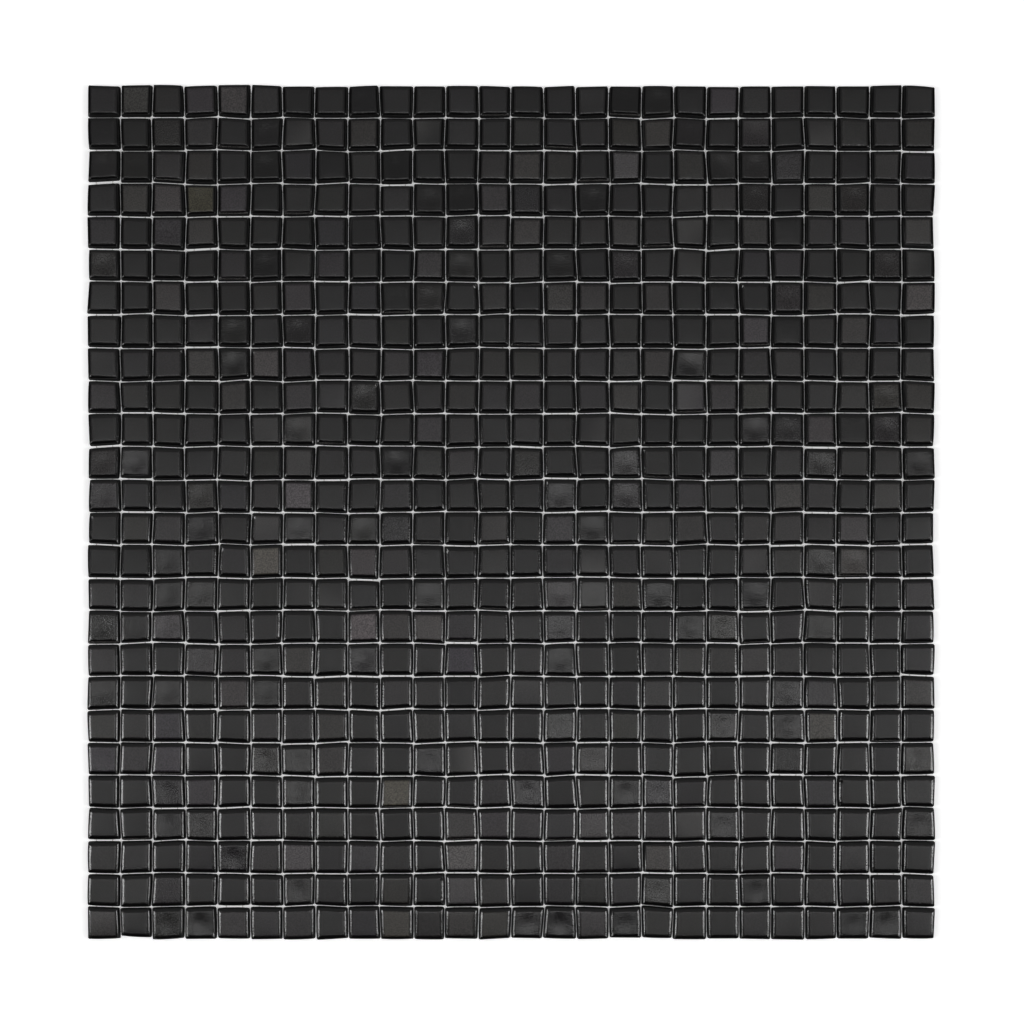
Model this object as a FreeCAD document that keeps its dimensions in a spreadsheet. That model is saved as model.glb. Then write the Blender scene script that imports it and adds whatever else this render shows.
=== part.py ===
import FreeCAD, Part
import math
import os
import random

import Sketcher

# Mosaic tile sheet: small hand-cut glass tiles laid in rows on a glass-fibre net.
# X runs along a row, Y runs from the last row up to the first, Z points up from the
# back of the net. The origin is the middle of the sheet, on the net's underside.

# Driving dimensions, in millimetres, degrees and counts.
sizes_table = [
    ("columnCount", "26"),
    ("rowCount", "26"),
    ("tileWidth", "12.66"),        # mean side of a tile at its back, where it is widest
    ("tileThickness", "3.6"),
    ("wallDraft", "9.5"),          # lean of a tile's wall, from back to face
    ("arrisWidth", "0.45"),        # broken edge round the face
    ("jointInRow", "0.1"),         # mean clear joint between two tiles of a row
    ("jointBetweenRows", "0.22"),  # mean clear joint between two rows
    ("jointLeast", "0.06"),        # kept clear along a joint line where it runs straight
    ("lineStray", "0.12"),         # how far hand laying leaves a whole joint line off its place
    ("crossingStray", "0.24"),     # how far it leaves one crossing of two joint lines off
    ("jointStep", "0.25"),         # how far a joint line steps sideways at a crossing
    ("strandsPerTile", "2"),
    ("strandWidth", "0.6"),
    ("strandThickness", "0.2"),
    ("netInset", "1"),             # the strands end this far inside the field of tiles
]

# The laying is drawn from this seed, so a rebuild gives the same sheet.
laying_seed = 2026
# Nothing strays more than this many spreads.
spread_limit = 1.9

doc = FreeCAD.newDocument("mosaic_tile_sheet")
sheet = doc.addObject("Spreadsheet::Sheet", "sizes")
for line, (alias, value) in enumerate(sizes_table, start=1):
    sheet.set(f"A{line}", alias)
    sheet.set(f"B{line}", value)
    sheet.setAlias(f"B{line}", alias)
doc.recompute()


def size(alias):
    return float(sheet.get(alias))


# Lengths that follow from the driving dimensions, as formulas for the expressions.
pitch_in_row = "(sizes.tileWidth + sizes.jointInRow)"
pitch_between_rows = "(sizes.tileWidth + sizes.jointBetweenRows)"
field_length = f"({pitch_in_row} * sizes.columnCount - sizes.jointInRow)"
field_height = f"({pitch_between_rows} * sizes.rowCount - sizes.jointBetweenRows)"


def plane_of(body, role):
    """The body's own origin plane with this role."""
    return next(item for item in body.Origin.OriginFeatures if item.Role == role)


def add_sketch(body, name, role):
    sketch = body.newObject("Sketcher::SketchObject", name)
    sketch.AttachmentSupport = [(plane_of(body, role), "")]
    sketch.MapMode = "FlatFace"
    return sketch


def add_rectangle(sketch, width_formula, height_formula):
    """A rectangle centred on the sketch's origin, sized by two formulas."""
    corners = [FreeCAD.Vector(x, y, 0) for x, y in ((-1, -1), (1, -1), (1, 1), (-1, 1))]
    for start, end in zip(corners, corners[1:] + corners[:1]):
        sketch.addGeometry(Part.LineSegment(start, end), False)
    for index in range(4):
        sketch.addConstraint(Sketcher.Constraint("Coincident", index, 2, (index + 1) % 4, 1))
    sketch.addConstraint(Sketcher.Constraint("Horizontal", 0))
    sketch.addConstraint(Sketcher.Constraint("Vertical", 1))
    sketch.addConstraint(Sketcher.Constraint("Horizontal", 2))
    sketch.addConstraint(Sketcher.Constraint("Vertical", 3))
    # The two far corners lie opposite each other across the origin.
    sketch.addConstraint(Sketcher.Constraint("Symmetric", 0, 1, 1, 2, -1, 1))
    width = sketch.addConstraint(Sketcher.Constraint("DistanceX", 0, 1, 0, 2, 2))
    height = sketch.addConstraint(Sketcher.Constraint("DistanceY", 1, 1, 1, 2, 2))
    sketch.renameConstraint(width, "width")
    sketch.renameConstraint(height, "height")
    sketch.setExpression("Constraints.width", width_formula)
    sketch.setExpression("Constraints.height", height_formula)


class Laying:
    """Where hand laying puts the tiles: a lattice of joint lines that stray a little."""

    def __init__(self):
        self.draw = random.Random(laying_seed)
        self.columns = int(size("columnCount"))
        self.rows = int(size("rowCount"))
        self.step_x = size("tileWidth") + size("jointInRow")
        self.step_y = size("tileWidth") + size("jointBetweenRows")
        self.line_x = [self.scatter("lineStray") for _ in range(self.columns + 1)]
        self.line_y = [self.scatter("lineStray") for _ in range(self.rows + 1)]
        self.crossings = []
        for row in range(self.rows + 1):
            self.crossings.append([self.lay_crossing(row, column) for column in range(self.columns + 1)])

    def scatter(self, alias):
        spread = size(alias)
        limit = spread_limit * spread
        return max(-limit, min(limit, self.draw.gauss(0, spread)))

    def lay_crossing(self, row, column):
        """Where the two joint lines run on each side of their crossing.

        Both lines step the same way round, so the four tiles close in like a pinwheel
        and never reach over each other.
        """
        x = (column - 0.5 * self.columns) * self.step_x + self.line_x[column]
        y = (0.5 * self.rows - row) * self.step_y + self.line_y[row]
        x += self.scatter("crossingStray")
        y += self.scatter("crossingStray")
        way_round = self.draw.choice((-0.5, 0.5))
        step_x = way_round * abs(self.scatter("jointStep"))
        step_y = way_round * abs(self.scatter("jointStep"))
        return {"above": x + step_x, "below": x - step_x, "left": y + step_y, "right": y - step_y}

    def half_joint(self, joint):
        """Half of the least joint, and a random share of what the mean joint has more."""
        least = size("jointLeast")
        return 0.5 * least + self.draw.expovariate(1) * 0.5 * (size(joint) - least)

    def tile_outline(self, row, column):
        """Corners of one tile's back, anticlockwise from its lower left."""
        upper_left = self.crossings[row][column]
        upper_right = self.crossings[row][column + 1]
        lower_left = self.crossings[row + 1][column]
        lower_right = self.crossings[row + 1][column + 1]
        left = self.half_joint("jointInRow")
        right = self.half_joint("jointInRow")
        bottom = self.half_joint("jointBetweenRows")
        top = self.half_joint("jointBetweenRows")
        return [
            (lower_left["above"] + left, lower_left["right"] + bottom),
            (lower_right["above"] - right, lower_right["left"] + bottom),
            (upper_right["below"] - right, upper_right["left"] - top),
            (upper_left["below"] + left, upper_left["right"] - top),
        ]

    def outlines(self):
        """The outline of every tile, row by row, evenly about the origin."""
        field = []
        for row in range(self.rows):
            field.append([self.tile_outline(row, column) for column in range(self.columns)])
        corners = [corner for tiles in field for outline in tiles for corner in outline]
        middle_x = 0.5 * (min(x for x, y in corners) + max(x for x, y in corners))
        middle_y = 0.5 * (min(y for x, y in corners) + max(y for x, y in corners))
        return [
            [[(x - middle_x, y - middle_y) for x, y in outline] for outline in tiles]
            for tiles in field
        ]


def inset_ring(ring, depth, level):
    """The outline whose sides all lie this far inside the given one, at its own level."""
    inner = []
    for before, corner, after in zip(ring[-1:] + ring[:-1], ring, ring[1:] + ring[:1]):
        arriving = (corner - before).normalize()
        leaving = (after - corner).normalize()
        point = corner + (leaving - arriving) * (depth / arriving.cross(leaving).z)
        inner.append(FreeCAD.Vector(point.x, point.y, level))
    return inner


def flat_face(corners):
    return Part.Face(Part.makePolygon(corners + corners[:1]))


def make_tile(outline):
    """One tile: a flat back, walls that lean in, a broken arris and a flat face."""
    wall_height = size("tileThickness") - size("arrisWidth")
    wall_lean = wall_height * math.tan(math.radians(size("wallDraft")))
    back = [FreeCAD.Vector(x, y, 0) for x, y in outline]
    wall_top = inset_ring(back, wall_lean, wall_height)
    face = inset_ring(wall_top, size("arrisWidth"), size("tileThickness"))
    sides = [flat_face(back), flat_face(face)]
    for lower, upper in ((back, wall_top), (wall_top, face)):
        for index in range(len(outline)):
            after = (index + 1) % len(outline)
            sides.append(flat_face([lower[index], lower[after], upper[after], upper[index]]))
    return Part.Solid(Part.Shell(sides))


def make_row(number, outlines):
    """One row of tiles, as separate solids about the row's own middle line."""
    rows_up = 0.5 * (size("rowCount") - 1) - (number - 1)
    row_middle = rows_up * (size("tileWidth") + size("jointBetweenRows"))
    tiles = [make_tile([(x, y - row_middle) for x, y in outline]) for outline in outlines]
    row = doc.addObject("Part::Feature", f"tile_row_{number:02d}")
    row.Label = f"tile_row_{number:02d}"
    row.Shape = Part.makeCompound(tiles)
    row.setExpression(
        "Placement.Base.y", f"((sizes.rowCount - 1) / 2 - {number - 1}) * {pitch_between_rows}"
    )
    row.setExpression("Placement.Base.z", "2 * sizes.strandThickness")
    return row


def make_strands(name, length, pitch, count, along_role, level):
    """Parallel flat strands of the net, a few to each tile and clear of the joints."""
    body = doc.addObject("PartDesign::Body", name)
    body.Label = name
    outline = add_sketch(body, f"{name}_outline", "XY_Plane")
    across = "sizes.strandWidth"
    along = f"({length} - 2 * sizes.netInset)"
    runs_up = along_role == "X_Axis"
    add_rectangle(outline, across if runs_up else along, along if runs_up else across)

    strand = body.newObject("PartDesign::Pad", f"{name}_strand")
    strand.Profile = outline
    strand.setExpression("Length", "sizes.strandThickness")
    doc.recompute()

    pattern = body.newObject("PartDesign::LinearPattern", f"{name}_pattern")
    pattern.Originals = [strand]
    pattern.Direction = (plane_of(body, along_role), [""])
    pattern.Mode = "Spacing"
    pattern.setExpression("Offset", f"{pitch} / sizes.strandsPerTile")
    pattern.setExpression("Occurrences", f"{count} * sizes.strandsPerTile")
    body.Tip = pattern

    first = f"-({count} * sizes.strandsPerTile - 1) / 2 * {pitch} / sizes.strandsPerTile"
    if runs_up:
        body.setExpression("Placement.Base.x", first)
    else:
        body.setExpression("Placement.Base.y", first)
    body.setExpression("Placement.Base.z", level)
    doc.recompute()
    return body


sub_parts = []
for row_number, row_outlines in enumerate(Laying().outlines(), start=1):
    sub_parts.append(make_row(row_number, row_outlines))

# The warp runs up the sheet and lies lowest. The weft lies on it and runs across.
columns = "sizes.columnCount"
rows = "sizes.rowCount"
sub_parts.append(make_strands("net_warp_strands", field_height, pitch_in_row, columns, "X_Axis", "0"))
weft_level = "sizes.strandThickness"
sub_parts.append(
    make_strands("net_weft_strands", field_length, pitch_between_rows, rows, "Y_Axis", weft_level)
)

doc.recompute()
for item in doc.Objects:
    if "Invalid" in item.State or "Error" in item.State:
        raise RuntimeError(f"{item.Label} did not build")
for part in sub_parts:
    if part.Shape.isNull() or not part.Shape.isValid():
        raise RuntimeError(f"{part.Label} has no valid shape")

os.makedirs("parts", exist_ok=True)
for part in sub_parts:
    part.Shape.exportStep(f"parts/{part.Label}.step")
    print(part.Label, len(part.Shape.Solids), "solids,", round(part.Shape.Volume, 1), "mm3")
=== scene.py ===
import math

import bpy
import numpy as np
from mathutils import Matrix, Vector


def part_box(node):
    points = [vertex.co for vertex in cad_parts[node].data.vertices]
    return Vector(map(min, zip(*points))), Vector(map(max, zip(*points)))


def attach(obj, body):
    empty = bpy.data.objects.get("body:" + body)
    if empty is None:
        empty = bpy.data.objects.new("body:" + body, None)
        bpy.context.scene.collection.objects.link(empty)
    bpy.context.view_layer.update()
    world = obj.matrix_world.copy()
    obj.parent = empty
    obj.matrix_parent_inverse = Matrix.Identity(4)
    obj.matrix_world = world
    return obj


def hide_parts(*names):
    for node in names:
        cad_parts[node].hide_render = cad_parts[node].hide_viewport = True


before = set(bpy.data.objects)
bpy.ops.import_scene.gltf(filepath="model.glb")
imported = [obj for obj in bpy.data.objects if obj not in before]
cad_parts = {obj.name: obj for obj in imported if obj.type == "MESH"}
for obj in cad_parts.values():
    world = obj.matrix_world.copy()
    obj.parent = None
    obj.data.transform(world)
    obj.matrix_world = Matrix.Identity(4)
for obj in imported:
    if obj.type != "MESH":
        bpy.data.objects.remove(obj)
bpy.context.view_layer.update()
millimetre = 0.001
print("frame loaded:", len(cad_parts), "nodes")

tileNodes = sorted(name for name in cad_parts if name.startswith("tile_row_"))
faceLevel = max(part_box(name)[1].z for name in tileNodes)
backLevel = min(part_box(name)[0].z for name in tileNodes)


# small helpers for meshes

def clearStartupObjects():
    for name in ("Cube", "Light", "Camera"):
        if name in bpy.data.objects:
            bpy.data.objects.remove(bpy.data.objects[name])


def framePoints(node):
    # the points of a node's own mesh in the frame
    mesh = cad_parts[node].data
    points = np.zeros(len(mesh.vertices) * 3)
    mesh.vertices.foreach_get("co", points)
    return points.reshape(-1, 3)


def ringQuads(steps, around):
    # quads from each ring of points to the next
    ring = np.arange(around)
    after = (ring + 1) % around
    start = np.arange(steps)[:, None] * around
    corners = [start + ring, start + after, start + around + after, start + around + ring]
    return np.stack(corners, axis=2).reshape(-1, 4)


def repeatFaces(faces, count, perShape):
    # the faces of one shape, repeated for every like shape in the mesh
    starts = (np.arange(count) * perShape)[:, None, None]
    return (faces[None] + starts).reshape(-1, faces.shape[1])


def meshFromArrays(name, points, quads, triangles=()):
    mesh = bpy.data.meshes.new(name)
    faces = [*np.asarray(quads).tolist(), *np.asarray(triangles).tolist()]
    mesh.from_pydata(points.tolist(), [], faces)
    mesh.update()
    piece = bpy.data.objects.new(name, mesh)
    bpy.context.scene.collection.objects.link(piece)
    return piece


def shadeSmooth(piece):
    piece.data.polygons.foreach_set("use_smooth", [True] * len(piece.data.polygons))
    piece.data.update()


def storeValues(piece, name, kind, values):
    attribute = piece.data.attributes.new(name, kind, "POINT")
    field = {"FLOAT_VECTOR": "vector", "FLOAT_COLOR": "color", "FLOAT": "value"}[kind]
    attribute.data.foreach_set(field, np.asarray(values, np.float32).ravel())


# small helpers for node trees

def plug(tree, socket, content):
    if isinstance(content, bpy.types.NodeSocket):
        tree.links.new(content, socket)
    else:
        socket.default_value = content


def addNode(tree, kind, inputs=None, **settings):
    node = tree.nodes.new(kind)
    for key, value in settings.items():
        setattr(node, key, value)
    for socket, content in (inputs or {}).items():
        plug(tree, node.inputs[socket], content)
    return node


def addMath(tree, operation, first, second=0.0, third=0.0):
    inputs = {0: first, 1: second, 2: third}
    return addNode(tree, "ShaderNodeMath", inputs, operation=operation).outputs[0]


def addProduct(tree, first, *others):
    for other in others:
        first = addMath(tree, "MULTIPLY", first, other)
    return first


def addVectorMath(tree, operation, inputs):
    return addNode(tree, "ShaderNodeVectorMath", inputs, operation=operation).outputs[0]


def splitVector(tree, vector):
    return addNode(tree, "ShaderNodeSeparateXYZ", {"Vector": vector}).outputs


def addMix(tree, factor, first, second, blend="MIX"):
    inputs = {0: factor, 6: first, 7: second}
    return addNode(tree, "ShaderNodeMix", inputs, data_type="RGBA", blend_type=blend).outputs[2]


def addRange(tree, value, fromLow, fromHigh, toLow=0.0, toHigh=1.0):
    inputs = {
        "Value": value, "From Min": fromLow, "From Max": fromHigh, "To Min": toLow, "To Max": toHigh}
    node = addNode(tree, "ShaderNodeMapRange", inputs, interpolation_type="SMOOTHSTEP")
    return node.outputs["Result"]


def addNoise(tree, place, scale, detail, roughness=0.5):
    inputs = {"Vector": place, "Scale": scale, "Detail": detail, "Roughness": roughness}
    return addNode(tree, "ShaderNodeTexNoise", inputs).outputs["Fac"]


def squareDistance(tree, across, along):
    # distance from the middle, along whichever of the two directions it is larger
    sideways, lengthways = addMath(tree, "ABSOLUTE", across), addMath(tree, "ABSOLUTE", along)
    return addMath(tree, "MAXIMUM", sideways, lengthways)


def readAttribute(tree, name, output="Vector"):
    return addNode(tree, "ShaderNodeAttribute", attribute_name=name).outputs[output]


def newMaterial(name):
    material = bpy.data.materials.new(name)
    material.use_nodes = True
    material.node_tree.nodes.clear()
    return material, material.node_tree


# camera: straight above the sheet, a little towards its last row

camera = {
    "imageSize": 1024,            # pixels along each side of the picture
    "sheetMiddle": (511.2, 512.0),  # where the sheet's middle shows, in those pixels
    "shownPitch": 32.66,          # pixels from one tile to the next along a row
    "tilePitch": 12.76 * millimetre,
    "height": 1.0,                # lens above the faces of the tiles, in metres as below
    "footBelowMiddle": 0.048,     # point under the lens, towards the last row
    "clip": (0.01, 50.0),         # nearest and farthest that it sees
    "sensor": 36.0,
}


def buildCamera():
    pixelsPerMetre = camera["shownPitch"] / camera["tilePitch"]
    size = camera["imageSize"]
    middleX, middleY = camera["sheetMiddle"]
    data = bpy.data.cameras.new("camera")
    data.sensor_width = camera["sensor"]
    data.lens = pixelsPerMetre * camera["height"] * camera["sensor"] / size
    data.shift_x = (size / 2 - middleX) / size
    data.shift_y = (camera["footBelowMiddle"] * pixelsPerMetre - size / 2 + middleY) / size
    data.clip_start, data.clip_end = camera["clip"]
    eye = bpy.data.objects.new("camera", data)
    eye.location = (0.0, -camera["footBelowMiddle"], faceLevel + camera["height"])
    bpy.context.scene.collection.objects.link(eye)
    bpy.context.scene.camera = eye


# studio: white floor, a soft panel overhead with a bright bar in it, a strip on each side,
# and a pale band all round above the horizon

studio = {
    "floorSize": 8.0,             # metres
    "floorColour": (0.95, 0.95, 0.95, 1.0),
    "floorGlow": (0.28, 0.52, 0.95),  # lifts it to white: in the joints, round the sheet, far away
    "sheetEdge": (0.160, 0.169),  # the first change lies between these distances from the middle
    "farFloor": (0.5, 1.8),       # and the second between these
    "panel": 0.38,                # strength of the soft panel overhead
    "panelSides": (0.40, 0.50),   # where it fades out on both sides; this and all below are directions
    "panelNear": (-0.15, -0.08),  # where it fades in past the last row
    "panelFar": (0.74, 0.86),     # and out again past the first
    "bar": 4.0,                   # strength of the bright bar across the panel
    "barMiddle": (0.02, -0.035),
    "barSides": (0.10, 0.26),     # fades out between these distances from its middle, lengthways
    "barWidth": (0.028, 0.062),   # and crossways
    "band": 2.0,                  # strength of the pale band above the horizon
    "bandRange": (0.28, 0.38),    # fades out between these heights
    "dark": 0.01,                 # the rest of the room
    "skyline": 0.14,              # white backdrop up to this height
    "lamps": [
        {"name": "leftStrip", "place": (-1.00, -0.22, 1.40), "size": (0.18, 0.60), "watts": 6.0},
        {"name": "rightStrip", "place": (1.00, -0.22, 1.40), "size": (0.18, 0.60), "watts": 6.0},
    ],
}


def seenRays(tree):
    rays = addNode(tree, "ShaderNodeLightPath").outputs
    seen = addMath(tree, "MAXIMUM", rays["Is Camera Ray"], rays["Is Glossy Ray"])
    return addMath(tree, "MAXIMUM", seen, rays["Is Transmission Ray"])


def buildFloor():
    half = studio["floorSize"] / 2
    corners = np.array([(-half, -half, 0), (half, -half, 0), (half, half, 0), (-half, half, 0)], float)
    floor = meshFromArrays("floor", corners, [(0, 1, 2, 3)])
    material, tree = newMaterial("paleFloor")
    diffuse = addNode(tree, "ShaderNodeBsdfDiffuse", {"Color": studio["floorColour"]})
    place = addNode(tree, "ShaderNodeTexCoord").outputs["Object"]
    across, along, _ = splitVector(tree, place)
    distance = squareDistance(tree, across, along)
    inJoints, outside, farAway = studio["floorGlow"]
    nearGlow = addRange(tree, distance, *studio["sheetEdge"], inJoints, outside)
    farGlow = addRange(tree, distance, *studio["farFloor"], 0.0, farAway - outside)
    strength = addProduct(tree, seenRays(tree), addMath(tree, "ADD", nearGlow, farGlow))
    glow = addNode(tree, "ShaderNodeEmission", {"Color": (1, 1, 1, 1), "Strength": strength})
    total = addNode(tree, "ShaderNodeAddShader", {0: diffuse.outputs[0], 1: glow.outputs[0]})
    addNode(tree, "ShaderNodeOutputMaterial", {"Surface": total.outputs[0]})
    floor.data.materials.append(material)


def buildSky():
    world = bpy.data.worlds.new("studioSky")
    bpy.context.scene.world = world
    world.use_nodes = True
    tree = world.node_tree
    tree.nodes.clear()
    direction = addNode(tree, "ShaderNodeTexCoord").outputs["Generated"]
    across, along, height = splitVector(tree, direction)

    barAcross, barAlong = studio["barMiddle"]
    crossways = addMath(tree, "ABSOLUTE", addMath(tree, "SUBTRACT", along, barAlong))
    bar = addRange(tree, crossways, *studio["barWidth"], studio["bar"], 0.0)
    lengthways = addMath(tree, "ABSOLUTE", addMath(tree, "SUBTRACT", across, barAcross))
    bar = addProduct(tree, bar, addRange(tree, lengthways, *studio["barSides"], 1.0, 0.0))

    sideways = addMath(tree, "ABSOLUTE", across)
    panel = addProduct(
        tree, addMath(tree, "ADD", bar, studio["panel"]),
        addRange(tree, sideways, *studio["panelSides"], 1.0, 0.0),
        addRange(tree, along, *studio["panelNear"]),
        addRange(tree, along, *studio["panelFar"], 1.0, 0.0),
        addMath(tree, "GREATER_THAN", height, 0.0))
    band = addRange(tree, height, *studio["bandRange"], studio["band"], 0.0)

    strength = addMath(tree, "ADD", addMath(tree, "MAXIMUM", panel, band), studio["dark"])
    low = addMath(tree, "LESS_THAN", height, studio["skyline"])
    strength = addMath(tree, "MAXIMUM", strength, addProduct(tree, low, seenRays(tree)))
    background = addNode(tree, "ShaderNodeBackground", {"Strength": strength})
    addNode(tree, "ShaderNodeOutputWorld", {"Surface": background.outputs[0]})


def buildStudio():
    buildFloor()
    buildSky()
    for lamp in studio["lamps"]:
        data = bpy.data.lights.new(lamp["name"], "AREA")
        data.shape = "RECTANGLE"
        data.size, data.size_y = lamp["size"]
        data.energy = lamp["watts"]
        light = bpy.data.objects.new(lamp["name"], data)
        light.location = lamp["place"]
        light.rotation_mode = "QUATERNION"
        light.rotation_quaternion = (-Vector(lamp["place"])).to_track_quat("-Z", "Y")
        bpy.context.scene.collection.objects.link(light)
    bpy.context.scene.view_settings.view_transform = "Standard"


# glass tiles: each one fills its own outline in the frame, and its face rolls over a shoulder
# into a tight arris and a leaning wall. Lengths are in millimetres

tile = {
    "seed": 7000,                 # each row adds its number
    "readDigits": 4,              # decimals to which the frame's corners are read
    "readLevel": 0.01,            # points this near the back are corners
    "sideSteps": 5,               # points along a side between its corners
    "cornerSteps": 3,             # facets round a corner
    "wallDraft": 9.5,             # degrees
    "shoulderRadius": 3.0,        # the face rolls over its shoulder
    "shoulderTurn": 28.0,         # degrees from the face to where the arris takes over
    "shoulderSteps": 4,
    "arrisRadius": 0.20,          # tighter rounding from the shoulder to the wall
    "arrisSteps": 3,
    "backRadius": 0.10,           # small rounding at the back
    "backPoint": (0.3, 0.2),      # a point on it, inwards and up, as shares of the radius
    "cornerAtBack": (0.60, 1.10), # corner radius in plan, least and most
    "cornerAtFace": (0.25, 0.50),
    "innerRing": 0.5,             # last ring on the face, as a share of its half width
    "innerCorner": 0.6,           # and of the face's part in its corner radius
    "bow": 0.20,                  # how far a side draws back from its middle to its ends, at most
    "bowSpread": 2,               # higher leaves more sides nearly straight
    "bowCurve": 3,                # higher keeps it nearer the ends
    "wander": 0.01,               # how far a cut side wanders inwards
    "wanderWaves": (2, 9),        # waves round a tile, from the first to below the last
    "wanderSpan": 2.2,            # what those waves are measured by
    "ragged": 0.07,               # share of tiles with a broken lower edge
    "raggedDepth": 0.22,
    "raggedEnds": 0.95,           # it stops this far along the side, as a share
    "raggedFrom": 0.6,            # it starts at this share of the thickness
    "raggedRise": 0.3,            # and is full after this share more
    "raggedRings": 1.1,           # only rings wider than this share of the face's half width
    "faceDome": (-0.04, 0.05),    # middle of the face above its edge
    "faceDish": (-0.20, -0.08),   # the same on a glossy tile
    "faceTilt": 0.010,            # slope of the face, spread
    "crownEnd": 1.2,              # a dome or dish ends at this squared share of the half width
    "glossy": 0.17,               # share of tiles with a smoother, dished face
    "glossyAmount": (0.75, 1.0),  # gloss on those
    "satinAmount": (0.0, 0.4),    # and on the others
    "tone": 0.85,                 # spread of the bloom from tile to tile, as a power of e
    "sheenShare": 0.05,              # share of tiles with a pale patch of painted highlight
    "sheenStrength": (0.25, 1.0),
    "sheenPower": 1.5,            # raises that, so that most are faint
    "sheenBearing": (0.5 * math.pi, 1.1),  # where on the face the painted highlight is thickest: mean and spread, radians
    "sheenSlope": 0.5,            # how much it thins across half the face
    "sheenReach": (0.2, 1.2),     # how much of it is left at the middle
    "noiseSeed": 5.0,             # a tile's seed in the noise lies within this on either side of nought
    "warmth": 1.08,               # red in the bloom
    "hueSpread": (0.03, 0.02, 0.08),  # how red, green and blue vary
    "tintRange": (0.7, 1.3),
}


def tileCorners(node):
    # back corners of each tile in the frame: lower left, lower right, upper right, upper left
    points = framePoints(node)
    low = points[points[:, 2] < backLevel + tile["readLevel"] * millimetre]
    corners = np.unique(np.round(low[:, :2] / millimetre, tile["readDigits"]), axis=0)
    middle = corners[:, 1].mean()
    below = corners[corners[:, 1] < middle].reshape(-1, 2, 2)
    above = corners[corners[:, 1] > middle].reshape(-1, 2, 2)
    return np.stack([below[:, 0], below[:, 1], above[:, 1], above[:, 0]], axis=1)


def ringPattern():
    # for each point round a rounded square: the way to its corner's centre, the way out from there,
    # how far along its side it lies, and its share of the four sides
    inner, outward, along, sides = [], [], [], []
    for quarter in range(4):
        turn = quarter * math.pi / 2
        rotate = np.array([[math.cos(turn), -math.sin(turn)], [math.sin(turn), math.cos(turn)]])
        here, following = np.eye(4)[quarter], np.eye(4)[(quarter + 1) % 4]
        for step in range(tile["sideSteps"]):
            run = -1 + 2 * (step + 1) / (tile["sideSteps"] + 1)
            inner.append(rotate @ (1, run))
            outward.append(rotate @ (1, 0))
            along.append(abs(run))
            sides.append(here)
        for step in range(tile["cornerSteps"] + 1):
            past = step / tile["cornerSteps"]
            inner.append(rotate @ (1, 1))
            outward.append(rotate @ (math.cos(math.pi / 2 * past), math.sin(math.pi / 2 * past)))
            along.append(1.0)
            sides.append(here * (1 - past) + following * past)
    return np.array(inner), np.array(outward), np.array(along), np.array(sides)


def tileProfile(half, thickness):
    # distance inside the back's outline, height and share of the face's corner radius, back to face
    lean, turn = math.radians(tile["wallDraft"]), math.radians(tile["shoulderTurn"])
    wide, tight, backRadius = tile["shoulderRadius"], tile["arrisRadius"], tile["backRadius"]
    arrisLevel = thickness - wide * (1 - math.cos(turn))
    wallTop = arrisLevel - tight * (math.cos(turn) - math.sin(lean))
    arrisInset = wallTop * math.tan(lean) + tight * (math.cos(lean) - math.sin(turn))
    faceInset = arrisInset + wide * math.sin(turn)
    inwards, upwards = tile["backPoint"]
    rings = [(backRadius, 0.0, 0.0), (inwards * backRadius, upwards * backRadius, 0.0)]
    for height in (backRadius, thickness / 2, wallTop):
        rings.append((height * math.tan(lean), height, height / wallTop))
    for step in range(1, tile["arrisSteps"] + 1):
        angle = math.pi / 2 - lean + (turn + lean - math.pi / 2) * step / tile["arrisSteps"]
        inset = arrisInset - tight * (math.sin(angle) - math.sin(turn))
        rings.append((inset, arrisLevel - tight * (math.cos(turn) - math.cos(angle)), 1.0))
    for step in range(1, tile["shoulderSteps"] + 1):
        angle = turn * (1 - step / tile["shoulderSteps"])
        inset = faceInset - wide * math.sin(angle)
        rings.append((inset, thickness - wide * (1 - math.cos(angle)), 1.0))
    faceHalf = half - faceInset
    rings.append((half - tile["innerRing"] * faceHalf, thickness, tile["innerCorner"]))
    return np.array(rings), faceHalf


def tileOutlines(draw, count, half, thickness, rings, faceHalf):
    # where each point of each tile lies in plan, and which tiles have a broken edge
    inset, level, faceShare = rings.T
    inner, outward, along, sides = ringPattern()
    cornerBack = draw.uniform(*tile["cornerAtBack"], count)
    cornerFace = draw.uniform(*tile["cornerAtFace"], count)
    corner = cornerBack[:, None] * (1 - faceShare) + cornerFace[:, None] * faceShare
    flat = (half - inset - corner)[..., None, None] * inner + corner[..., None, None] * outward

    # sides draw back towards their ends and wander a little, less and less over the face
    bearing = np.arctan2(inner[:, 1], inner[:, 0])
    wander = np.zeros((count, len(inner)))
    for wave in range(*tile["wanderWaves"]):
        phase = draw.uniform(0, 2 * math.pi, (count, 1))
        wander += draw.uniform(0, 1, (count, 1)) * np.sin(wave * bearing + phase) / math.sqrt(wave)
    wander = tile["wander"] * (wander.max(axis=1, keepdims=True) - wander) / tile["wanderSpan"]
    drawBack = tile["bow"] * draw.uniform(0, 1, (count, 4)) ** tile["bowSpread"]
    bow = drawBack @ sides.T * along ** tile["bowCurve"]
    reach = np.clip((half - inset) / faceHalf, 0, 1)
    flat = flat - ((wander + bow)[:, None, :, None] * reach[None, :, None, None]) * outward

    # a few tiles have a lower edge that broke away unevenly
    ragged = draw.uniform(0, 1, count) < tile["ragged"]
    lower = np.clip(-outward[:, 1], 0, 1) * (along < tile["raggedEnds"])
    bite = draw.uniform(0, 1, (count, len(inner))) * lower * ragged[:, None] * tile["raggedDepth"]
    climb = (level - tile["raggedFrom"] * thickness) / (tile["raggedRise"] * thickness)
    nearFace = np.clip(climb, 0, 1) * (half - inset > tile["raggedRings"] * faceHalf)
    flat = flat - (bite[:, None, :, None] * nearFace[None, :, None, None]) * outward
    return flat, ragged


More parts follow.
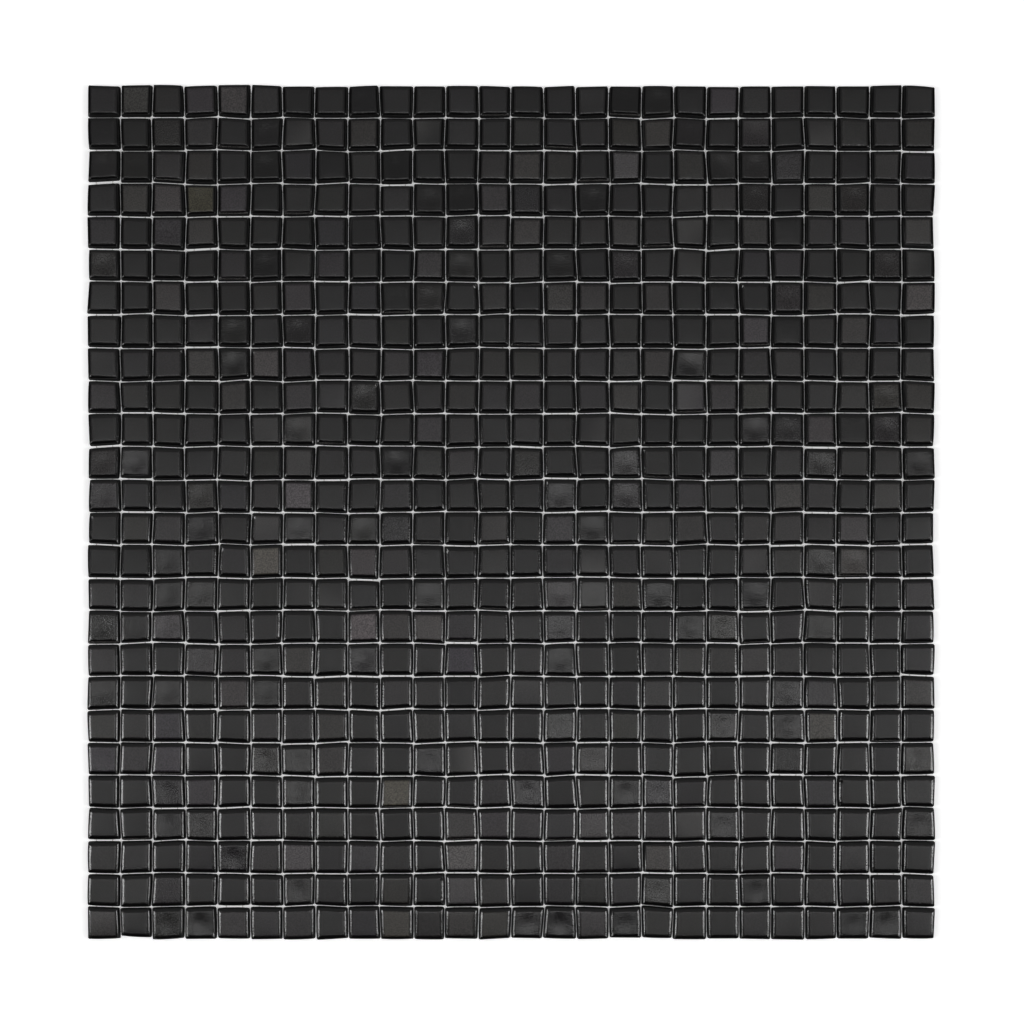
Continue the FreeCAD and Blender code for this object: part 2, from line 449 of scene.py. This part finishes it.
def crownFaces(draw, flat, level, thickness, faceHalf):
    # each face is domed or dished and leans a little, and none of it rises above its level
    count = len(flat)
    height = np.broadcast_to(level[None, :, None], flat.shape[:3]).copy()
    lean = draw.normal(0, tile["faceTilt"], (count, 2))
    glossy = draw.uniform(0, 1, count) < tile["glossy"]
    dish = draw.uniform(*tile["faceDish"], count)
    dome = draw.uniform(*tile["faceDome"], count)
    crown = np.where(glossy, dish, dome)[:, None, None]
    upper = np.clip((level - thickness / 2) / (thickness / 2), 0, 1)[None, :, None]
    square = (flat ** 2).sum(axis=3) / faceHalf ** 2
    slope = (flat * lean[:, None, None, :]).sum(axis=3)
    change = slope - crown * np.minimum(square, tile["crownEnd"])
    top = np.maximum(change.max(axis=(1, 2)), 0.0)
    height += upper * (change - top[:, None, None])
    return height, top, glossy


def fitToCorners(flat, half, corners):
    # each tile's square stretched over its own four corners
    across = flat[..., 0] / half
    up = flat[..., 1] / half
    shares = [
        (1 - across) * (1 - up), (1 + across) * (1 - up),
        (1 + across) * (1 + up), (1 - across) * (1 + up)]
    return sum(share[..., None] * corners[:, None, k] / 4 for k, share in enumerate(shares))


def tileFaces(ringCount, around):
    # quads up the rings, a fan over the face and one over the back
    ring = np.arange(around)
    after = (ring + 1) % around
    last, faceMiddle = (ringCount - 1) * around, ringCount * around
    faceFan = np.stack([last + ring, last + after, np.full(around, faceMiddle)], axis=1)
    backFan = np.stack([after, ring, np.full(around, faceMiddle + 1)], axis=1)
    return ringQuads(ringCount - 1, around), np.concatenate([faceFan, backFan])


def markTiles(piece, draw, local, faceHalf, ragged, glossy):
    # what sets one tile apart from the next: bloom, pale patch of painted highlight,
    # broken edge, gloss, its seed in the noise and its hue
    count, perTile = local.shape[:2]
    tone = np.exp(draw.normal(0, tile["tone"], count))
    # a few tiles get a pale patch of painted highlight, standing in for lamps glinting in fine bumps of
    # the face
    isSheened = draw.uniform(0, 1, count) < tile["sheenShare"]
    strength = draw.uniform(*tile["sheenStrength"], count) ** tile["sheenPower"]
    strength = np.where(isSheened, strength, 0)[:, None]
    bearing = draw.normal(*tile["sheenBearing"], count)[:, None]
    towards = local[..., 0] * np.cos(bearing) + local[..., 1] * np.sin(bearing)
    reach = draw.uniform(*tile["sheenReach"], count)[:, None]
    paleSheen = strength * np.clip(tile["sheenSlope"] * towards / faceHalf + reach, 0, 1)
    glossyAmount = draw.uniform(*tile["glossyAmount"], count)
    satinAmount = draw.uniform(*tile["satinAmount"], count)
    gloss = np.where(glossy, glossyAmount, satinAmount)
    seed = draw.uniform(-tile["noiseSeed"], tile["noiseSeed"], (count, 3))
    hue = draw.normal(0, 1, (count, 2))
    red, green, blue = tile["hueSpread"]
    tint = np.ones((count, 4))
    tint[:, 0] = tile["warmth"] + red * hue[:, 1]
    tint[:, 1] = 1 - green * hue[:, 0]
    tint[:, 2] = 1 + blue * hue[:, 0]
    tint = np.clip(tint, *tile["tintRange"])

    look = [np.repeat(tone, perTile), paleSheen.ravel(), np.repeat(ragged * 1.0, perTile)]
    storeValues(piece, "tileLook", "FLOAT_VECTOR", np.stack(look, axis=1))
    storeValues(piece, "tileGloss", "FLOAT", np.repeat(gloss, perTile))
    storeValues(piece, "tileSeed", "FLOAT_VECTOR", np.repeat(seed, perTile, axis=0))
    storeValues(piece, "tilePlace", "FLOAT_VECTOR", local.reshape(-1, 3))
    storeValues(piece, "tileTint", "FLOAT_COLOR", np.repeat(tint, perTile, axis=0))


def buildTileRow(node, number, glass):
    draw = np.random.default_rng(tile["seed"] + number)
    corners = tileCorners(node)
    count = len(corners)
    thickness = (faceLevel - backLevel) / millimetre
    half = np.linalg.norm(np.roll(corners, -1, axis=1) - corners, axis=2).mean() / 2
    rings, faceHalf = tileProfile(half, thickness)
    flat, ragged = tileOutlines(draw, count, half, thickness, rings, faceHalf)
    height, top, glossy = crownFaces(draw, flat, rings[:, 1], thickness, faceHalf)

    # the points in the tile's own square, then the middles of its face and back
    points = np.concatenate([flat, height[..., None]], axis=3).reshape(count, -1, 3)
    faceMiddle, backMiddle = np.zeros((count, 1, 3)), np.zeros((count, 1, 3))
    faceMiddle[:, 0, 2] = thickness - top
    local = np.concatenate([points, faceMiddle, backMiddle], axis=1)
    laid = fitToCorners(local[..., :2], half, corners)
    points = np.concatenate([laid, local[..., 2:]], axis=2) * millimetre
    points[..., 2] += backLevel

    quads, triangles = tileFaces(*flat.shape[1:3])
    quads = repeatFaces(quads, count, points.shape[1])
    triangles = repeatFaces(triangles, count, points.shape[1])
    piece = meshFromArrays(f"glass_row_{number:02d}", points.reshape(-1, 3), quads, triangles)
    shadeSmooth(piece)
    markTiles(piece, draw, local, faceHalf, ragged, glossy)
    piece.data.materials.append(glass)
    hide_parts(node)
    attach(piece, "root")
    return len(quads) * 2 + len(triangles)


# fine grain and dust, shared by the glass and the net

grain = {
    "detail": 3.0,
    "roughness": 0.6,
    "noiseRange": (0.3, 0.7),     # levels of the noise that give no grain and full grain
    "dustScale": 0.25,            # scale of the dust's cells beside the grains', so four times as wide
    "dustRadius": (0.05, 0.16),   # a speck fades out between these shares of its cell
}


def buildGrainGroup():
    group = bpy.data.node_groups.new("grainAndDust", "ShaderNodeTree")
    sockets = group.interface
    sockets.new_socket("Place", in_out="INPUT", socket_type="NodeSocketVector")
    sockets.new_socket("Grain Size", in_out="INPUT", socket_type="NodeSocketFloat")
    sockets.new_socket("Dust Share", in_out="INPUT", socket_type="NodeSocketFloat")
    sockets.new_socket("Grain", in_out="OUTPUT", socket_type="NodeSocketFloat")
    sockets.new_socket("Dust", in_out="OUTPUT", socket_type="NodeSocketFloat")
    entry = addNode(group, "NodeGroupInput").outputs
    scale = addMath(group, "DIVIDE", 1.0, entry["Grain Size"])
    fine = addNoise(group, entry["Place"], scale, grain["detail"], grain["roughness"])
    grains = addRange(group, fine, *grain["noiseRange"])
    cells = addNode(group, "ShaderNodeTexVoronoi", {
        "Vector": entry["Place"], "Scale": addProduct(group, scale, grain["dustScale"])}).outputs
    chosen = addNode(group, "ShaderNodeSeparateColor", {"Color": cells["Color"]}).outputs[0]
    chosen = addMath(group, "LESS_THAN", chosen, entry["Dust Share"])
    near = addRange(group, cells["Distance"], *grain["dustRadius"], 1.0, 0.0)
    addNode(group, "NodeGroupOutput", {"Grain": grains, "Dust": addProduct(group, chosen, near)})
    return group


def placeGrain(tree, grainGroup, place, finish):
    inputs = {"Place": place, "Grain Size": finish["grainSize"], "Dust Share": finish["dustShare"]}
    return addNode(tree, "ShaderNodeGroup", inputs, node_tree=grainGroup).outputs


# finish of the glass: heights, depths and distances from a tile's middle are in millimetres

glassFinish = {
    "glass": (0.0022, 0.0021, 0.0022, 1.0),
    "bloom": (0.0072, 0.0069, 0.0070, 1.0),  # thin matt bloom on an ordinary face
    "bloomEnd": (4.40, 5.10),     # it fades out between these distances
    "bloomFrom": 3.0,             # and lies above this height
    "bloomNoise": (0.30, 0.70),   # levels of the waves that give the least and most of it
    "bloomShare": (0.5, 1.5),     # least and most of it within one face
    # pale colour of the painted highlight patch; the dust specks take it too
    "paleSheen": (0.150, 0.144, 0.140, 1.0),
    "sheenMottleNoise": (0.35, 0.68),  # levels of the peel that thin the painted highlight patch
    "sheenMottleShare": (0.25, 1.0),   # and what they leave of it
    # pale colour of a fresh break: partly its rough fracture, partly a painted glint of light on it
    "broken": (0.22, 0.21, 0.20, 1.0),
    "brokenBand": (5.15, 5.55),   # fresh breaks, with their painted glint, come in between these distances
    "brokenFrom": 2.6,            # above this height
    "brokenNoise": 0.58,          # where the peel is over this
    "roughness": (0.35, 0.12),    # satin tiles and glossy ones
    "shoulder": (4.15, 4.55),     # it changes to the shoulder's between these distances
    "shoulderRoughness": 0.16,
    "wallTop": (2.95, 3.15),      # the cut wall's roughness ends between these heights
    "wallRoughness": 1.0,
    "ior": 1.5,
    "spotSpread": 9.0,            # the noise runs this much and once more, so ten times as fast
    "grainSize": 0.35,            # for that reason this is in tenths of a millimetre
    "dustShare": 0.012,
    "waveSize": 5.0,              # fine waves in the poured face, in tenths too
    "waveDepth": 0.035,
    "peelSize": 0.9,              # orange peel, finer still, in tenths too
    "peelDepth": (0.002, 0.012),  # on satin tiles and glossy ones
}


def buildGlass(grainGroup):
    finish = glassFinish
    material, tree = newMaterial("blackGlass")
    tone, paleSheen, ragged = splitVector(tree, readAttribute(tree, "tileLook"))
    gloss = readAttribute(tree, "tileGloss", "Fac")
    tint = readAttribute(tree, "tileTint", "Color")
    place = readAttribute(tree, "tilePlace")
    acrossTile, alongTile, up = splitVector(tree, place)
    distance = squareDistance(tree, acrossTile, alongTile)

    # each tile reads the noise at a spot of its own, which runs ten times as fast as its place
    shifted = addVectorMath(tree, "ADD", {0: place, 1: readAttribute(tree, "tileSeed")})
    spread = addVectorMath(tree, "SCALE", {0: shifted, 3: finish["spotSpread"]})
    spot = addVectorMath(tree, "ADD", {0: place, 1: spread})
    grains = placeGrain(tree, grainGroup, spot, finish)
    waves = addNoise(tree, spot, 1 / finish["waveSize"], detail=1.0)
    peel = addNoise(tree, spot, 1 / finish["peelSize"], detail=2.0, roughness=0.6)

    # matt bloom, pale patches of painted highlight and dust lie on the face only
    onFace = addRange(tree, distance, *finish["bloomEnd"], 1.0, 0.0)
    onFace = addProduct(tree, onFace, addMath(tree, "GREATER_THAN", up, finish["bloomFrom"]))
    share = addRange(tree, waves, *finish["bloomNoise"], *finish["bloomShare"])
    bloom = addProduct(tree, tone, share, onFace)
    film = addMix(tree, 1.0, finish["bloom"], tint, "MULTIPLY")
    film = addVectorMath(tree, "SCALE", {0: film, 3: bloom})
    mottle = addRange(tree, peel, *finish["sheenMottleNoise"], *finish["sheenMottleShare"])
    # painted highlight: a pale mottled patch in the base colour, where lamps would glint in fine bumps
    patch = addProduct(tree, paleSheen, addProduct(tree, mottle, grains["Grain"]), onFace)
    colour = addMix(tree, 1.0, finish["glass"], film, "ADD")
    colour = addMix(tree, patch, colour, finish["paleSheen"])
    # dust specks, in the same pale colour
    colour = addMix(tree, addProduct(tree, grains["Dust"], onFace), colour, finish["paleSheen"])

    # fresh breaks along a ragged lower edge, pale partly from the rough fracture and partly as a
    # painted glint of light on it
    band = addRange(tree, addProduct(tree, alongTile, -1.0), *finish["brokenBand"])
    chipsAndGlints = addMath(tree, "GREATER_THAN", peel, finish["brokenNoise"])
    nearTop = addMath(tree, "GREATER_THAN", up, finish["brokenFrom"])
    broken = addProduct(tree, band, ragged, chipsAndGlints, nearTop)
    colour = addMix(tree, broken, colour, finish["broken"])

    peelDepth = addRange(tree, gloss, 0.0, 1.0, *finish["peelDepth"])
    relief = addProduct(tree, waves, finish["waveDepth"])
    relief = addMath(tree, "MULTIPLY_ADD", peel, peelDepth, relief)
    bump = addNode(tree, "ShaderNodeBump", {"Strength": 1.0, "Distance": millimetre, "Height": relief})
    rough = addRange(tree, gloss, 0.0, 1.0, *finish["roughness"])
    rough = addRange(tree, distance, *finish["shoulder"], rough, finish["shoulderRoughness"])
    wallRough = addRange(tree, up, *finish["wallTop"], finish["wallRoughness"], 0.0)
    rough = addMath(tree, "MAXIMUM", rough, wallRough)
    shader = addNode(tree, "ShaderNodeBsdfPrincipled", {
        "Base Color": colour, "Roughness": rough, "IOR": finish["ior"], "Normal": bump.outputs[0]})
    addNode(tree, "ShaderNodeOutputMaterial", {"Surface": shader.outputs[0]})
    return material


# backing net: flat coated glass-fibre strands, the warp lowest and the weft lying on it

net = {
    "seed": 31,                   # each direction adds its number
    "readDigits": 3,              # decimals of a millimetre to which the frame's strands are read
    "sectionPoints": 8,           # points round a strand
    "sectionPower": 0.6,          # under 1 moves them towards its edges
    "edgeRound": 0.30,            # how much thinner it is near its edges
    "edgeFrom": 0.8,              # where those begin, as a share of half its width
    "stepsPerCrossing": 3,
    "pinch": 0.16,                # how much narrower a strand is between two crossings, at most
    "pinchLeast": 0.5,            # and the least, as a share of that
    "wander": 0.06,               # how far it strays sideways, in millimetres
    "wanderWaves": (3, 7, 15),    # half waves along a strand
    "wanderSpread": 0.5,          # size of each, spread
    "wanderPhase": 6.3,           # start of each, up to about a full turn in radians
    "noiseShift": 50.0,           # how far one strand's place in the noise may be moved
}


def strandLines(node, axis):
    # the middle and width of each strand, read from the frame's own mesh
    edges = np.round(framePoints(node)[:, axis] / millimetre, net["readDigits"])
    sides = np.unique(edges).reshape(-1, 2)
    return sides.mean(axis=1), (sides[:, 1] - sides[:, 0]).mean()


def strandSection():
    # points round a flat section, thinner towards its edges, as shares of half its width and depth
    count = net["sectionPoints"]
    angle = (np.arange(count) + 0.5) * 2 * math.pi / count
    reach = np.sign(np.cos(angle)) * np.abs(np.cos(angle)) ** net["sectionPower"]
    edge = np.abs(reach) > net["edgeFrom"]
    rise = np.sin(angle) / np.abs(np.sin(angle)).max() * (1 - net["edgeRound"] * edge)
    return reach, rise


def layStrands(draw, node, axis, steps):
    # rings of points along each strand, in millimetres, and the middle line of each
    middles, width = strandLines(node, axis)
    reach, rise = strandSection()
    low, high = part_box(node)
    ends = np.array([low[1 - axis], high[1 - axis]]) / millimetre
    levels = np.array([low.z, high.z]) / millimetre
    halfThick = 0.5 * (levels[1] - levels[0])
    along = np.linspace(ends[0], ends[1], steps + 1)
    halfWave = np.linspace(0, math.pi, steps + 1)
    phase = 2 * math.pi * np.arange(steps + 1) / net["stepsPerCrossing"]
    mostPinch = net["pinch"] * (0.5 - 0.5 * np.cos(phase))
    strands = []
    for middle in middles:
        sway = np.zeros(steps + 1)
        for wave in net["wanderWaves"]:
            size = draw.normal(0, net["wanderSpread"])
            sway += size * np.sin(wave * halfWave + draw.uniform(0, net["wanderPhase"]))
        sway = net["wander"] * np.clip(sway, -1, 1)
        pinch = mostPinch * draw.uniform(net["pinchLeast"], 1)
        half = 0.5 * width * (1 - pinch) - net["wander"]
        side = middle + sway[:, None] + half[:, None] * reach[None, :]
        level = levels.mean() + halfThick * np.broadcast_to(rise, side.shape)
        run = np.broadcast_to(along[:, None], side.shape)
        strands.append(np.stack([side, run, level] if axis == 0 else [run, side, level], axis=2))
    return np.array(strands), middles


def buildStrands(node, name, axis, crossings, material):
    draw = np.random.default_rng(net["seed"] + axis)
    steps, around = net["stepsPerCrossing"] * crossings, net["sectionPoints"]
    strands, middles = layStrands(draw, node, axis, steps)
    count, perStrand = len(strands), (steps + 1) * around

    end = steps * around
    quads = ringQuads(steps, around)
    caps = [(0, k + 1, k) for k in range(1, around - 1)]
    caps = np.array(caps + [(end, end + k, end + k + 1) for k in range(1, around - 1)])
    if axis == 0:
        quads, caps = quads[:, ::-1], caps[:, ::-1]
    quads, caps = repeatFaces(quads, count, perStrand), repeatFaces(caps, count, perStrand)
    piece = meshFromArrays(name, strands.reshape(-1, 3) * millimetre, quads, caps)
    shadeSmooth(piece)

    # how far each point lies across and along its strand, and the strand's place in the noise
    across = (strands[..., axis] - middles[:, None, None]).ravel()
    along = strands[..., 1 - axis].ravel()
    shift = np.repeat(draw.uniform(0, net["noiseShift"], count), perStrand)
    storeValues(piece, "fibrePlace", "FLOAT_VECTOR", np.stack([across, along, shift], axis=1))
    piece.data.materials.append(material)
    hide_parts(node)
    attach(piece, "root")
    return len(quads) * 2 + len(caps)


# finish of the net: sizes are in millimetres

netFinish = {
    "coat": (0.88, 0.88, 0.86, 1.0),
    "fibre": (0.74, 0.74, 0.71, 1.0),
    "fibreNoise": (0.3, 0.6),     # levels of the noise that show bare fibre and full coat
    "fibreSize": (0.09, 6.0),     # across and along
    "fibreDepth": 0.03,
    "roughness": (0.45, 0.65),    # without grain and with it
    "grainSize": 0.25,
    "grainRelief": 0.3,           # height of the grain beside the fibres'
    "dustShare": 0.02,
    "dustStrength": 0.4,
}


def buildNetMaterial(grainGroup):
    finish = netFinish
    material, tree = newMaterial("coatedNet")
    place = readAttribute(tree, "fibrePlace")
    wide, long = finish["fibreSize"]
    stretched = addVectorMath(tree, "MULTIPLY", {0: place, 1: (1 / wide, 1 / long, 1.0)})
    fibres = addNoise(tree, stretched, 1.0, detail=1.0)
    grains = placeGrain(tree, grainGroup, place, finish)
    coated = addRange(tree, fibres, *finish["fibreNoise"])
    colour = addMix(tree, coated, finish["fibre"], finish["coat"])
    dust = addProduct(tree, grains["Dust"], finish["dustStrength"])
    colour = addMix(tree, dust, colour, finish["fibre"])
    relief = addMath(tree, "MULTIPLY_ADD", grains["Grain"], finish["grainRelief"], fibres)
    relief = addProduct(tree, relief, finish["fibreDepth"])
    bump = addNode(tree, "ShaderNodeBump", {"Strength": 1.0, "Distance": millimetre, "Height": relief})
    rough = addRange(tree, grains["Grain"], 0.0, 1.0, *finish["roughness"])
    shader = addNode(tree, "ShaderNodeBsdfPrincipled", {
        "Base Color": colour, "Roughness": rough, "Normal": bump.outputs[0]})
    addNode(tree, "ShaderNodeOutputMaterial", {"Surface": shader.outputs[0]})
    return material


clearStartupObjects()
buildCamera()
buildStudio()
print("camera and studio ready")

grainGroup = buildGrainGroup()
glass = buildGlass(grainGroup)
total = 0
for number, node in enumerate(tileNodes, start=1):
    total += buildTileRow(node, number, glass)
print("tiles built:", total, "triangles")

netMaterial = buildNetMaterial(grainGroup)
warpCount = len(strandLines("net_warp_strands", 0)[0])
weftCount = len(strandLines("net_weft_strands", 1)[0])
total = buildStrands("net_warp_strands", "net_warp_yarns", 0, weftCount - 1, netMaterial)
total += buildStrands("net_weft_strands", "net_weft_yarns", 1, warpCount - 1, netMaterial)
print("net built:", total, "triangles")
